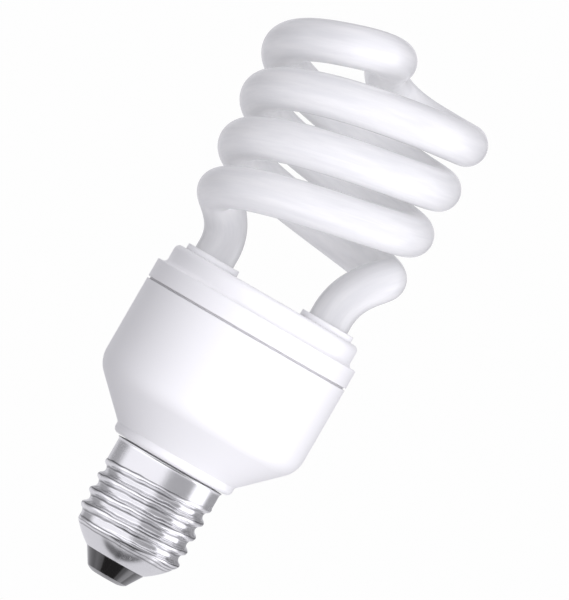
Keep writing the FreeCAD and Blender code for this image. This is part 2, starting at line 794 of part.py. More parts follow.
def choke_parts():
    """Two E-shaped ferrite halves, the bobbin on their middle legs and the winding."""
    choke_x, choke_y = spread(choke_at)
    low_z = body_top_z - choke_height
    middle_z = body_top_z - choke_height / 2
    side_leg = (choke_width - winding_d - 2 * (bobbin_gap + choke_winding_gap)) / 2
    halves = []
    for base_z, yoke_z in ((low_z, low_z), (middle_z, body_top_z - choke_yoke)):
        half = block(choke_x, choke_y, base_z, choke_depth, choke_width, choke_height / 2)
        room_y = choke_width - 2 * side_leg
        room_low = low_z + choke_yoke if base_z == low_z else middle_z
        room = block(choke_x, choke_y, room_low, choke_depth + 2, room_y, choke_height / 2 - choke_yoke)
        post = rod(choke_x, choke_y, base_z, base_z + choke_height / 2, choke_post_d)
        halves.append(half.cut(room).fuse(post).removeSplitter())
    lower, upper = halves
    bobbin_low = low_z + choke_yoke + bobbin_gap
    bobbin_high = body_top_z - choke_yoke - bobbin_gap
    bore_d = choke_post_d + 2 * bobbin_gap
    barrel_d = bore_d + 2 * bobbin_wall
    barrel = rod(choke_x, choke_y, bobbin_low, bobbin_high, barrel_d)
    bottom = rod(choke_x, choke_y, bobbin_low, bobbin_low + bobbin_wall, winding_d)
    top = rod(choke_x, choke_y, bobbin_high - bobbin_wall, bobbin_high, winding_d)
    bobbin = barrel.fuse([bottom, top]).cut(rod(choke_x, choke_y, bobbin_low - 1, bobbin_high + 1, bore_d))
    foot_low = bobbin_high - bobbin_wall
    foot_length = choke_pin_spacing + bobbin_foot
    for side in (-1, 1):
        foot_x = choke_x + side * (choke_depth / 2 + 1.2)
        foot = block(foot_x, choke_y, foot_low, bobbin_foot, foot_length, board_low_z - foot_low)
        bobbin = bobbin.fuse(foot)
        for end in (-1, 1):
            straight_lead(foot_x, choke_y + end * choke_pin_spacing / 2, board_low_z)
    winding = wound_drum(choke_x, choke_y, bobbin_low + bobbin_wall, bobbin_high - bobbin_wall,
                         barrel_d, winding_d - winding_recess, winding_turns)
    return lower, upper, bobbin.removeSplitter(), winding


def toroid_parts():
    """Small drive transformer, standing on edge, with three wire windings."""
    toroid_x, toroid_y = spread(toroid_at)
    z = body_top_z - toroid_d / 2 - toroid_wire_d - 4 * toroid_gap
    start = V(toroid_x - toroid_thick / 2, toroid_y, z)
    core = Part.makeCylinder(toroid_d / 2, toroid_thick, start, V(1, 0, 0))
    core = core.cut(Part.makeCylinder(toroid_hole_d / 2, toroid_thick, start, V(1, 0, 0)))
    core = core.makeFillet(toroid_round, [edge for edge in core.Edges if edge.isClosed()])
    section_r = math.hypot((toroid_d - toroid_hole_d) / 4, toroid_thick / 2)
    middle_r = (toroid_d + toroid_hole_d) / 4
    loop_r = section_r + toroid_gap + toroid_wire_d / 2
    loops = []
    for winding in range(3):
        for turn in range(toroid_turns):
            a = math.radians(20 + 120 * winding + toroid_turn_deg * turn)
            centre = V(toroid_x, toroid_y + middle_r * math.cos(a), z + middle_r * math.sin(a))
            loops.append(Part.makeTorus(loop_r, toroid_wire_d / 2, centre, V(0, -math.sin(a), math.cos(a))))
    return core, Part.makeCompound(loops)


def transistor(at):
    x, y = spread(at)
    top_z = body_top_z - transistor_drop
    body = block(x, y, top_z - transistor_height, transistor_width, transistor_thick, transistor_height)
    hole_start = V(x, y - transistor_thick / 2 - 1, top_z - transistor_height + transistor_hole_up)
    hole = Part.makeCylinder(transistor_hole_d / 2, transistor_thick + 2, hole_start, V(0, 1, 0))
    for i in (-1, 0, 1):
        straight_lead(x + i * transistor_pin_spacing, y, top_z)
    return body.cut(hole)


def thermistor():
    x, y = spread(thermistor_at)
    z = body_top_z - thermistor_d / 2
    start = V(x, y - thermistor_thick / 2, z)
    disc = Part.makeCylinder(thermistor_d / 2, thermistor_thick, start, V(0, 1, 0))
    disc = disc.makeFillet(thermistor_round, [edge for edge in disc.Edges if edge.isClosed()])
    for side in (-1, 1):
        beside = (thermistor_thick + lead_d) / 2
        straight_lead(x + side * thermistor_pin_spacing / 2, y + side * beside, z)
    return disc


def filter_choke_parts():
    """Drum core with a flange at each end and its winding between them."""
    filter_x, filter_y = spread(filter_at)
    low_z = body_top_z - filter_height
    core = rod(filter_x, filter_y, low_z, body_top_z, filter_core_d)
    lower = rod(filter_x, filter_y, low_z, low_z + filter_flange, filter_d)
    upper = rod(filter_x, filter_y, body_top_z - filter_flange, body_top_z, filter_d)
    winding = wound_drum(filter_x, filter_y, low_z + filter_flange, body_top_z - filter_flange,
                         filter_core_d, filter_d - winding_recess, filter_turns)
    for side in (-1, 1):
        straight_lead(filter_x, filter_y + side * filter_pin_spacing / 2, body_top_z)
    return core.fuse([lower, upper]).removeSplitter(), winding


def fuse_resistor():
    fuse_x, fuse_y = spread(fuse_at)
    body = rod(fuse_x, fuse_y, fuse_low_z, fuse_low_z + fuse_length, fuse_d)
    body = body.makeFillet(fuse_round, [edge for edge in body.Edges if edge.isClosed()])
    straight_lead(fuse_x, fuse_y, fuse_low_z + fuse_length)
    return body


def centre_wire():
    """Supply wire from the contact's stem up to the fuse resistor."""
    fuse_x, fuse_y = spread(fuse_at)
    low, high = V(0, 0, contact_plate), V(fuse_x, fuse_y, fuse_low_z)
    bend_end = high - V(0, 0, 1.0)
    top = V(0, 0, glass_top_z + 1)
    straight = [low + (top - low) * (i / 10) for i in range(10)]
    curve = bezier(top, top + V(0, 0, 4), bend_end - V(0, 0, 3), bend_end, 20)
    points = evenly_spaced([low] + straight[1:] + curve, 1.0) + [high]
    return skin_along(points, [supply_wire_d / 2 - wire_gap] * len(points), 8)


def side_wire():
    """Supply wire from the board, down inside the neck, round the spigot's rim and up against the cap."""
    inner_r = spigot_bore_r - supply_wire_d / 2 - side_wire_gap
    outer_r = thread_valley_r - cap_wall - supply_wire_d / 2 - wire_gap
    turn = math.radians(side_wire_turn_deg)
    ux, uy = math.cos(turn), math.sin(turn)
    turn_z = spigot_low_z - side_wire_bend - 0.1
    points = [V(ux * inner_r, uy * inner_r, board_top_z + lead_stub), V(ux * inner_r, uy * inner_r, turn_z),
              V(ux * outer_r, uy * outer_r, turn_z), V(ux * outer_r, uy * outer_r, side_wire_top_z)]
    joints.append((ux * inner_r, uy * inner_r))
    return bent_rod(points, side_wire_bend, supply_wire_d)


def post_places():
    """Two posts for each leg, in line with it: x, y of the post and 1 or -1 for its side of the leg."""
    places = []
    for side in (-1, 1):
        for end in (-1, 1):
            places.append((side * leg_x, -side * leg_y + end * post_reach, end))
    return places


def wrap_post(x, y):
    return block(x, y, board_low_z, post_side, post_side, board_thick + post_height)


def tube_lead_wire(x, y, end):
    """Tube wire, straight down from the leg's seal and wound on its post."""
    wrap_r = post_side * math.sqrt(0.5) + wire_d / 2 + wire_gap
    low_z = board_top_z + wrap_low
    points = []
    for i in range(12 * wrap_turns + 1):
        a = 2 * math.pi * i / 12
        dx, dy = wrap_r * math.cos(a), -end * wrap_r * math.sin(a)
        points.append(V(x + dx, y + dy, low_z + wrap_pitch * i / 12))
    seal = V(x, y - end * (post_reach - wire_offset), leg_low_z)
    above = seal - V(0, 0, 0.6)
    last = points[-1]
    points += bezier(last, last - V(0, end * 1.2, -0.2), above - V(0, 0, 1.2), above, 14)[1:]
    points = evenly_spaced(points, 0.42) + [seal]
    return skin_along(points, [wire_d / 2] * len(points), 8)


def circuit_board():
    board = Part.makeCylinder(board_r, board_thick, V(0, 0, board_low_z))
    holes = [rod(x, y, board_low_z - 1, board_top_z + 1, lead_d + 2 * lead_hole_gap) for x, y in joints]
    post_hole_d = post_side * math.sqrt(2) + 2 * lead_hole_gap
    holes += [rod(x, y, board_low_z - 1, board_top_z + 1, post_hole_d) for x, y, end in post_places()]
    return board.cut(holes)


def solder_joints():
    cones = []
    for x, y in joints:
        wire = supply_wire_d if (x, y) == joints[-1] else lead_d
        cone = Part.makeCone(solder_d / 2, wire / 2 + 0.15, solder_height, V(x, y, board_top_z))
        cones.append(cone.cut(rod(x, y, board_top_z - 1, board_top_z + 2, wire)))
    return Part.makeCompound(cones)


def all_pieces():
    """Every node of the lamp by name."""
    pieces = {
        "discharge_tube": discharge_tube(),
        "tube_holder": tube_holder(),
        "tube_cement_left": tube_cement(-1),
        "tube_cement_right": tube_cement(1),
        "ballast_housing": ballast_housing(),
        "cap_shell": cap_shell(),
        "cap_insulator": cap_insulator(),
        "centre_contact": centre_contact(),
        "smoothing_capacitor": smoothing_capacitor(),
        "start_thermistor": thermistor(),
        "fuse_resistor": fuse_resistor(),
        "centre_wire": centre_wire(),
        "high_side_transistor": transistor(high_transistor_at),
        "low_side_transistor": transistor(low_transistor_at),
        "trigger_diode": lying(trigger_at, False, trigger_d, trigger_length, trigger_pin_spacing),
        "coupling_capacitor": hanging_block(coupling_at, coupling_size, False),
        "resonant_capacitor": hanging_block(resonant_at, resonant_size, True),
        "base_resistor_1": lying(base_resistor_1_at, True, resistor_d, resistor_length, resistor_pin_spacing),
        "base_resistor_2": lying(base_resistor_2_at, True, resistor_d, resistor_length, resistor_pin_spacing),
        "start_resistor": lying(start_resistor_at, False, resistor_d, resistor_length, resistor_pin_spacing),
    }
    for i, at in enumerate(diode_at, start=1):
        pieces[f"rectifier_diode_{i}"] = lying(at, True, diode_d, diode_length, diode_pin_spacing)
    lower, upper, bobbin, winding = choke_parts()
    pieces["choke_core_lower"] = lower
    pieces["choke_core_upper"] = upper
    pieces["choke_bobbin"] = bobbin
    pieces["choke_winding"] = winding
    pieces["drive_toroid"], pieces["toroid_windings"] = toroid_parts()
    pieces["filter_choke_core"], pieces["filter_choke_winding"] = filter_choke_parts()
    for i, (x, y, end) in enumerate(post_places(), start=1):
        pieces[f"wrap_post_{i}"] = wrap_post(x, y)
        pieces[f"tube_lead_wire_{i}"] = tube_lead_wire(x, y, end)
    pieces["component_leads"] = Part.makeCompound(leads)
    pieces["side_wire"] = side_wire()
    pieces["circuit_board"] = circuit_board()
    pieces["solder_joints"] = solder_joints()
    return pieces


os.makedirs("parts", exist_ok=True)
for name, shape in all_pieces().items():
    print(name, shape.isValid(), len(shape.Solids), round(shape.Volume, 2))
    shape.exportStep(f"parts/{name}.step")
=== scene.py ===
"""Looks of the spiral energy saving lamp: skins, materials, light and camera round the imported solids.

The lamp stands along +Z with its centre contact on the origin, and the camera looks along +Y with a roll, as
in the photograph. Meshes are worked out in millimetres and put into the scene in metres. The tube is made
again here as a finer skin of the same formulas as its solid, with a smoother bridge. The cap is made again
with tighter crests on its thread and a little of the waviness that rolling leaves.
"""

import json
import math

import bpy
import numpy as np
from mathutils import Matrix, Vector


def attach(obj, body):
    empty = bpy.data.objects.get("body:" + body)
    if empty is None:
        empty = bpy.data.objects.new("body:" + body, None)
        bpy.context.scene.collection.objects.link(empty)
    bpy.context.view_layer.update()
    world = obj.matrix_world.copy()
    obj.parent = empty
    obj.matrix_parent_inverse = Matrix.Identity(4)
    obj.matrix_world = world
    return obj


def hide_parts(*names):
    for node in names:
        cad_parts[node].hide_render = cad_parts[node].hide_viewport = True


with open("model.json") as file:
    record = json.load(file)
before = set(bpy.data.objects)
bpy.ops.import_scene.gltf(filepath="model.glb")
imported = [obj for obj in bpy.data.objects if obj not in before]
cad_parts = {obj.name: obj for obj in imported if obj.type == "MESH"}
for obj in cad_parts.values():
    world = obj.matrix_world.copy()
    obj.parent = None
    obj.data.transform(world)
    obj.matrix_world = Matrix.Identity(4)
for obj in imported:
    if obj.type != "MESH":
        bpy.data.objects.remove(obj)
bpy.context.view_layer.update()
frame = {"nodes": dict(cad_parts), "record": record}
MM = 0.001

# Sizes that the skins share with the solids, in millimetres and radians; where the thread fades, in turns
TUBE_R = 4.86
LEG_X, LEG_Y = 14.685, 4.80
LEG_LOW_Z, LEG_STRAIGHT_Z = 62.5, 76.0
LEG_END_ROUND, LEG_END_R = 3.2, 1.7
LEG_CURVE, ENTRY_CURVE = 8.28, 6.12
COIL_R, COIL_R_GROWTH = 21.15, 0.055
HALF_PITCH, COIL_LOW_Z = 11.87, 88.0
COIL_START, COIL_END = math.radians(-171.9), math.radians(414.7)
LEAN_LEFT, LEAN_BACK = math.radians(2.1), math.radians(4.5)
LEAN_BACK_GROWTH, LEAN_SPAN = math.radians(3.6), 25.0
SHIFT_X, SHIFT_Y, PIVOT_Z = 0.09, -1.92, 79.7
BRIDGE_MIDDLE, BRIDGE_HEADING = (-0.22, 0.79, 132.52), math.radians(-27.0)
BRIDGE_OUT, BRIDGE_IN = 18.7, 1.84

CREST_R, VALLEY_R, PITCH, CREST_Z = 13.1, 12.0, 3.629, 10.33
THREAD_FADE_IN, THREAD_RUN_OUT = (-0.55, 0.0), (3.05, 3.5)
BAND_R, BAND_FADE_Z, BAND_LOW_Z, BAND_TOP_Z = 12.95, (22.0, 24.0), 25.0, 28.4
MOUTH_R, MOUTH_Z, WALL = 13.3, 29.1, 0.3
LIP_R, LIP_Z = 7.3, 4.5
DOME_RADIUS, DOME_TOP_R, DOME_TOP_Z, DOME_BLEND = 21.0, 13.3, 10.5, 0.35
DOME_INSET_GAIN, DOME_INSET_Z = 0.6, 6.0

# Sizes of the skins alone, in millimetres: the ease of the bridge's middle and the cap's rolled sheet
BRIDGE_EASE = 9.0
CREST_SHARE = 0.42
SHEET_WAVES = ((6, 0.9, 0.3, 0.045), (11, -1.3, 1.9, 0.040), (17, 1.9, 4.1, 0.030), (27, -2.6, 0.8, 0.018))
MOUTH_ROUND = 0.06

# How finely the skins are cut; at its first end, the tube's angle 0 lies square to START_SIDE
LEG_POINTS, CURVE_STEPS, COIL_POINTS, LINE_POINTS = 60, 120, 700, 4000
DIRECTION_POINTS, TANGENT_REACH = 5, 0.3
TUBE_RINGS, TUBE_SIDES, TUBE_END_RINGS = 1100, 56, 9
CAP_RINGS, CAP_SIDES, CAP_INNER_STEP, BAND_RINGS, FLARE_RINGS = 260, 288, 4, 12, 6
START_SIDE = (0.3, 1.0, 0.1)


# Meshes

def mesh_object(name, points, faces, attributes=None):
    """Smooth-shaded mesh from points in millimetres; attributes is a dict of one number for each point."""
    mesh = bpy.data.meshes.new(name)
    mesh.from_pydata((np.asarray(points) * MM).tolist(), [], faces)
    for key, values in (attributes or {}).items():
        layer = mesh.attributes.new(key, "FLOAT", "POINT")
        layer.data.foreach_set("value", np.asarray(values, np.float32))
    mesh.shade_smooth()
    mesh.update()
    piece = bpy.data.objects.new(name, mesh)
    bpy.context.scene.collection.objects.link(piece)
    return piece


def grid_faces(rows, columns, closed_rows=False):
    """Quads of a grid whose rows are rings; closed_rows joins the last ring to the first."""
    row = np.arange(rows if closed_rows else rows - 1)[:, None]
    column = np.arange(columns)[None, :]
    here, above, beside = row * columns, (row + 1) % rows * columns, (column + 1) % columns
    quads = np.stack([here + column, here + beside, above + beside, above + column], axis=-1)
    return quads.reshape(-1, 4).tolist()


def smooth_step(value, low, high):
    """0 at low, 1 at high, flat at both ends."""
    t = np.clip((value - low) / (high - low), 0.0, 1.0)
    return t * t * (3 - 2 * t)


def bezier(p0, p1, p2, p3, count):
    """Cubic from p0 to p3 in count steps: the four points weighted by the cubic's terms in t and 1 - t."""
    t = np.linspace(0, 1, count + 1)[:, None]
    s = 1 - t
    return p0 * s ** 3 + 3 * p1 * s * s * t + 3 * p2 * s * t * t + p3 * t ** 3


def evenly(points, count):
    """The line again as count points at equal distances, found between its own, and their distances."""
    steps = np.linalg.norm(np.diff(points, axis=0), axis=1)
    travelled = np.concatenate([[0], np.cumsum(steps)])
    places = np.linspace(0, travelled[-1], count)
    return np.stack([np.interp(places, travelled, points[:, i]) for i in range(3)], axis=1), places


# The glass tube

def leaned(points):
    """Turns the coil about the X axis, more towards its top, then about Y, round a pivot, and shifts it."""
    x, y, z = points[:, 0], points[:, 1], points[:, 2] - PIVOT_Z
    back = LEAN_BACK + LEAN_BACK_GROWTH * (z / LEAN_SPAN - 1)
    y, z = y * np.cos(back) + z * np.sin(back), z * np.cos(back) - y * np.sin(back)
    cosine, sine = math.cos(LEAN_LEFT), math.sin(LEAN_LEFT)
    x, z = x * cosine - z * sine, z * cosine + x * sine
    return np.stack([x + SHIFT_X, y + SHIFT_Y, z + PIVOT_Z], axis=1)


def arm_line(side):
    """Centre line of one arm: straight leg, an elbow, a helix whose radius grows with height, half a bridge.

    The helix rises half a pitch for each half turn, and the two arms are half a turn apart.
    """
    angle = np.linspace(COIL_START, COIL_END, COIL_POINTS)
    z = COIL_LOW_Z + HALF_PITCH * (angle + math.pi) / math.pi
    radius = COIL_R + COIL_R_GROWTH * (z - COIL_LOW_Z)
    coil = np.stack([side * radius * np.cos(angle), side * radius * np.sin(angle), z], axis=1)
    leaving = coil[-1] - coil[-2]
    leaving = leaving / np.linalg.norm(leaving)
    middle = np.array(BRIDGE_MIDDLE)
    crossing = side * np.array([math.cos(BRIDGE_HEADING), math.sin(BRIDGE_HEADING), 0])
    handle_out, handle_in = coil[-1] + leaving * BRIDGE_OUT, middle - crossing * BRIDGE_IN
    bridge = bezier(coil[-1], handle_out, handle_in, middle, CURVE_STEPS)
    upper = leaned(np.concatenate([coil, bridge[1:]]))
    entering = upper[1] - upper[0]
    entering = entering / np.linalg.norm(entering)
    low = np.array([-side * LEG_X, side * LEG_Y, LEG_LOW_Z])
    top = np.array([-side * LEG_X, side * LEG_Y, LEG_STRAIGHT_Z])
    handle_out, handle_in = top + np.array([0, 0, LEG_CURVE]), upper[0] - entering * ENTRY_CURVE
    elbow = bezier(top, handle_out, handle_in, upper[0], CURVE_STEPS)
    leg = low + (top - low) * np.linspace(0, 1, LEG_POINTS)[:-1, None]
    return np.concatenate([leg, elbow, upper[1:]])


def eased_middle(points, places):
    """The line with the small crook at the bridge's middle taken out.

    One cubic joins the points BRIDGE_EASE before and after the middle. It keeps the line's direction at
    both, and its handles are a third of the span.
    """
    middle = places[-1] / 2
    first, last = np.searchsorted(places, (middle - BRIDGE_EASE, middle + BRIDGE_EASE))
    ends = points[[first, last]]
    near = DIRECTION_POINTS
    directions = points[[first + near, last + near]] - points[[first - near, last - near]]
    handles = directions / np.linalg.norm(directions, axis=1)[:, None] * (places[last] - places[first]) / 3
    inner = bezier(ends[0], ends[0] + handles[0], ends[1] - handles[1], ends[1], last - first)
    return np.concatenate([points[:first], inner, points[last + 1:]])


def discharge_tube():
    """Round skin about the whole centre line, on frames carried along it without twist.

    A point is the line's point plus radius * (cos(angle) * side + sin(angle) * up). The ends close in a
    quarter-round shoulder. Each point keeps its distance along the tube and its angle about it, which the
    coating's streaks follow, and its distance from the nearer end, by which the legs get painted shade.
    """
    line = np.concatenate([arm_line(1), arm_line(-1)[::-1][1:]])
    fine, places = evenly(eased_middle(*evenly(line, LINE_POINTS)), LINE_POINTS)
    length = places[-1]

    def on_line(distances):
        return np.stack([np.interp(distances, places, fine[:, i]) for i in range(3)], axis=1)

    quarter = np.linspace(0, math.pi / 2, TUBE_END_RINGS)
    shoulder = LEG_END_ROUND * (1 - np.cos(quarter))
    body = np.linspace(LEG_END_ROUND, length - LEG_END_ROUND, TUBE_RINGS)[1:-1]
    stations = np.concatenate([shoulder, body, (length - shoulder)[::-1]])
    end_r = LEG_END_R + (TUBE_R - LEG_END_R) * np.sin(quarter)
    radii = np.concatenate([end_r, np.full(len(body), TUBE_R), end_r[::-1]])
    ahead = on_line(np.minimum(stations + TANGENT_REACH, length))
    tangents = ahead - on_line(np.maximum(stations - TANGENT_REACH, 0))
    tangents /= np.linalg.norm(tangents, axis=1)[:, None]
    sides = np.empty_like(tangents)
    side = np.cross(tangents[0], START_SIDE)
    for i, tangent in enumerate(tangents):
        side = side - tangent * side.dot(tangent)
        side /= np.linalg.norm(side)
        sides[i] = side
    ups = np.cross(tangents, sides)
    rows, around = len(stations), TUBE_SIDES
    angles = np.arange(around) * 2 * math.pi / around
    outward = np.cos(angles)[:, None] * sides[:, None] + np.sin(angles)[:, None] * ups[:, None]
    points = (on_line(stations)[:, None] + radii[:, None, None] * outward).reshape(-1, 3)
    faces = grid_faces(rows, around)
    faces.append(tuple(range(around))[::-1])
    faces.append(tuple(range((rows - 1) * around, rows * around)))
    along = np.repeat(stations, around)
    from_end = np.minimum(along, length - along)
    attributes = {"along": along * MM, "turn": np.tile(angles, rows), "from_end": from_end * MM}
    return mesh_object("tube_glass_skin", points, faces, attributes)


# The screw cap

def thread_height(offset):
    """0 in a valley and 1 on a crest: a tight arc over the crest and a wider one through the valley.

    The two arcs meet at one slope, so their radii add up to (half pitch squared + depth squared) divided by
    twice the depth. CREST_SHARE is the crest's part of that sum and of the half pitch; the solid has half.
    """
    half, depth = PITCH / 2, CREST_R - VALLEY_R
    both = (half ** 2 + depth ** 2) / (2 * depth)
    crest_radius, valley_radius, meet = both * CREST_SHARE, both * (1 - CREST_SHARE), half * CREST_SHARE
    x = np.abs((offset + half) % PITCH - half)
    crest = 1 - (crest_radius - np.sqrt(crest_radius ** 2 - np.minimum(x, meet) ** 2)) / depth
    valley = (valley_radius - np.sqrt(valley_radius ** 2 - np.minimum(half - x, half - meet) ** 2)) / depth
    return np.where(x < meet, crest, valley)


def sheet_wave(angle, z):
    """Waviness that the rolling leaves, in mm along the axis.

    It is a sum of sines of the angle: waves in a round, drift of the phase with height, start and size.
    """
    return sum(size * np.sin(turns * angle + drift * z + start) for turns, drift, start, size in SHEET_WAVES)


def dome_r(z):
    """Radius of the rounded bottom: one arc from the lip round the glass up to the first crest."""
    chord_r, chord_z = DOME_TOP_R - LIP_R, DOME_TOP_Z - LIP_Z
    chord = math.hypot(chord_r, chord_z)
    depth = math.sqrt(DOME_RADIUS ** 2 - (chord / 2) ** 2)
    centre_r = (LIP_R + DOME_TOP_R) / 2 - depth * chord_z / chord
    centre_z = (LIP_Z + DOME_TOP_Z) / 2 + depth * chord_r / chord
    return centre_r + np.sqrt(np.maximum(DOME_RADIUS ** 2 - (z - centre_z) ** 2, 0.0))


def cap_outer_r(angle, z):
    """Outside radius: the thread turned with the angle, faded in above the dome and out below the band.

    The dome and the thread meet in a parabola in place of a sharp corner.
    """
    turn = angle / (2 * math.pi)
    crest_z = CREST_Z + PITCH * turn
    crest_turn = np.round((z - crest_z) / PITCH) + turn
    valley_turn = np.floor((z - crest_z) / PITCH) + turn
    raised = thread_height(z - crest_z + sheet_wave(angle, z)) * smooth_step(crest_turn, *THREAD_FADE_IN)
    rolled = VALLEY_R + (CREST_R - VALLEY_R) * raised
    band = BAND_R + (CREST_R - BAND_R) * (1 - smooth_step(z, *BAND_FADE_Z))
    radius = rolled + (np.maximum(band, rolled) - rolled) * smooth_step(valley_turn, *THREAD_RUN_OUT)
    gap = np.clip(dome_r(z) - radius, -DOME_BLEND, DOME_BLEND)
    joined = radius - (DOME_BLEND - gap) ** 2 / (4 * DOME_BLEND)
    return np.where(dome_r(z) - radius < -DOME_BLEND, dome_r(z), joined)


def cap_skin():
    """Closed sheet: outside rings up the thread, plain rings round the mouth, and the thread's from inside.

    The plain rings are the band, the mouth, which flares with the square of the way up, and its rolled edge.
    The inside lies one wall further in, measured across the axis, and more where the dome slopes in.
    """
    angles = np.arange(CAP_SIDES) * 2 * math.pi / CAP_SIDES
    outer_z = np.linspace(LIP_Z, BAND_LOW_Z, CAP_RINGS)
    inner_z = outer_z[::-CAP_INNER_STEP]
    band_z = np.linspace(BAND_LOW_Z, BAND_TOP_Z, BAND_RINGS)[1:]
    flare = np.linspace(0, 1, FLARE_RINGS)[1:]
    plain_r = np.concatenate([
        np.full(len(band_z), BAND_R), BAND_R + (MOUTH_R - BAND_R) * flare * flare,
        [MOUTH_R - WALL / 2, MOUTH_R - WALL, BAND_R - WALL]])
    plain_z = np.concatenate([
        band_z, BAND_TOP_Z + (MOUTH_Z - BAND_TOP_Z) * flare, [MOUTH_Z + MOUTH_ROUND, MOUTH_Z, BAND_TOP_Z]])
    inset = WALL * (1 + DOME_INSET_GAIN * (1 - smooth_step(inner_z, DOME_INSET_Z, DOME_TOP_Z)))
    radii = np.concatenate([
        cap_outer_r(angles, outer_z[:, None]), np.repeat(plain_r[:, None], CAP_SIDES, axis=1),
        cap_outer_r(angles, inner_z[:, None]) - inset[:, None]])
    levels = np.concatenate([outer_z, plain_z, inner_z])
    heights = np.repeat(levels[:, None], CAP_SIDES, axis=1)
    points = np.stack([radii * np.cos(angles), radii * np.sin(angles), heights], axis=-1).reshape(-1, 3)
    faces = grid_faces(len(levels), CAP_SIDES, closed_rows=True)
    return mesh_object("cap_sheet_skin", points, faces, {"above_crest": above_crest(points)})


def above_crest(points):
    """Height of each point above the crest line nearest to it, in mm, with the sheet's waviness."""
    angle = np.arctan2(points[:, 1], points[:, 0]) % (2 * math.pi)
    offset = points[:, 2] + sheet_wave(angle, points[:, 2]) - CREST_Z - PITCH * angle / (2 * math.pi)
    return (offset + PITCH / 2) % PITCH - PITCH / 2


# Shader helpers

def add(tree, kind, **values):
    """New node; keyword values set its properties, and a dict under inputs sets its sockets."""
    node = tree.nodes.new(kind)
    for key, value in values.pop("inputs", {}).items():
        node.inputs[key].default_value = value
    for key, value in values.items():
        setattr(node, key, value)
    return node


def math_node(tree, operation, a, b=None, c=None, clamp=False):
    """One math node; a, b and c are sockets or numbers."""
    node = tree.nodes.new("ShaderNodeMath")
    node.operation = operation
    node.use_clamp = clamp
    for i, value in enumerate((a, b, c)):
        if value is None:
            continue
        if isinstance(value, (int, float)):
            node.inputs[i].default_value = value
        else:
            tree.links.new(value, node.inputs[i])
    return node.outputs[0]


def ramp_between(tree, value, low, high, to_low=0.0, to_high=1.0):
    """Smooth map of a value from one range to another."""
    node = tree.nodes.new("ShaderNodeMapRange")
    node.interpolation_type = "SMOOTHSTEP"
    tree.links.new(value, node.inputs["Value"])
    node.inputs["From Min"].default_value = low
    node.inputs["From Max"].default_value = high
    node.inputs["To Min"].default_value = to_low
    node.inputs["To Max"].default_value = to_high
    return node.outputs["Result"]


def new_group(name, inputs, outputs):
    """Empty shader node group with typed sockets; inputs maps a name to (type, default)."""
    tree = bpy.data.node_groups.new(name, "ShaderNodeTree")
    for key, (kind, default) in inputs.items():
        socket = tree.interface.new_socket(name=key, in_out="INPUT", socket_type=kind)
        socket.default_value = default
    for key, kind in outputs.items():
        tree.interface.new_socket(name=key, in_out="OUTPUT", socket_type=kind)
    entry = tree.nodes.new("NodeGroupInput")
    leave = tree.nodes.new("NodeGroupOutput")
    return tree, entry, leave


def make_uneven_group():
    """Colour and roughness that drift a little over the surface: a broad and a fine noise added together."""
    tree, entry, leave = new_group(
        "uneven_finish",
        {"Color": ("NodeSocketColor", (1, 1, 1, 1)), "Roughness": ("NodeSocketFloat", 0.4),
         "Color drift": ("NodeSocketFloat", 0.03), "Roughness drift": ("NodeSocketFloat", 0.1),
         "Broad scale": ("NodeSocketFloat", 60.0), "Fine scale": ("NodeSocketFloat", 900.0)},
        {"Color": "NodeSocketColor", "Roughness": "NodeSocketFloat", "Height": "NodeSocketFloat"})
    link = tree.links.new
    place = tree.nodes.new("ShaderNodeTexCoord")
    broad = add(tree, "ShaderNodeTexNoise", inputs={"Detail": 3.0, "Roughness": 0.55})
    fine = add(tree, "ShaderNodeTexNoise", inputs={"Detail": 2.0, "Roughness": 0.6})
    link(place.outputs["Object"], broad.inputs["Vector"])
    link(place.outputs["Object"], fine.inputs["Vector"])
    link(entry.outputs["Broad scale"], broad.inputs["Scale"])
    link(entry.outputs["Fine scale"], fine.inputs["Scale"])
    both = math_node(tree, "ADD", math_node(tree, "MULTIPLY", broad.outputs[0], 0.65),
                     math_node(tree, "MULTIPLY", fine.outputs[0], 0.35))
    offset = math_node(tree, "SUBTRACT", both, 0.5)
    shade = math_node(tree, "MULTIPLY_ADD", offset, entry.outputs["Color drift"], 1.0)
    scaled = add(tree, "ShaderNodeVectorMath", operation="SCALE")
    link(entry.outputs["Color"], scaled.inputs[0])
    link(shade, scaled.inputs["Scale"])
    link(scaled.outputs[0], leave.inputs["Color"])
    rough, drift = entry.outputs["Roughness"], entry.outputs["Roughness drift"]
    link(math_node(tree, "MULTIPLY_ADD", offset, drift, rough), leave.inputs["Roughness"])
    link(fine.outputs[0], leave.inputs["Height"])
    return tree


